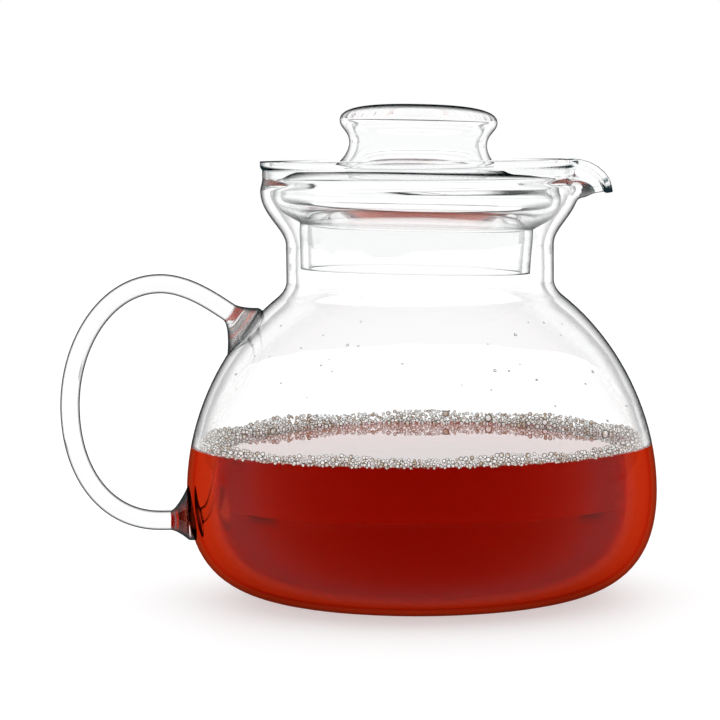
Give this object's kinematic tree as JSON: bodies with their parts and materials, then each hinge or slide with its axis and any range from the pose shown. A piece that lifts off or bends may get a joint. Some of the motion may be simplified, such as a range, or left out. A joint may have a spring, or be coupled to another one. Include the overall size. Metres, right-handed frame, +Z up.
{
  "type": "glass teapot",
  "caption": "Squat blown glass teapot with a pulled pouring lip, a bent rod handle and a hollow knobbed lid that lifts off, holding dark red tea.",
  "frame": {"origin": "centre of the jug's flat underside, on the jug's axis", "axes": "+Z up along the jug's axis, +X from the axis towards the pouring lip, with the handle on the -X side"},
  "size_m": [0.1968, 0.1552, 0.1621],
  "materials": {
    "clear_glass": "polished",
    "tea_liquid": "gloss",
    "tea_foam": "gloss"
  },
  "bodies": {
    "pot": {"jug_base": "clear_glass", "jug_lower_bowl": "clear_glass", "jug_belly": "clear_glass", "jug_shoulder": "clear_glass", "jug_neck": "clear_glass", "jug_collar": "clear_glass", "handle": "clear_glass", "handle_upper_foot": "clear_glass", "handle_lower_foot": "clear_glass", "tea": "tea_liquid", "foam_ring": "tea_foam"},
    "lid": {"lid": "clear_glass"}
  },
  "joints": [
    {"name": "lid_lift", "type": "slide", "parent": "pot", "child": "lid", "axis": [0, 0, 1], "range_m": [0, 0.06]}
  ]
}
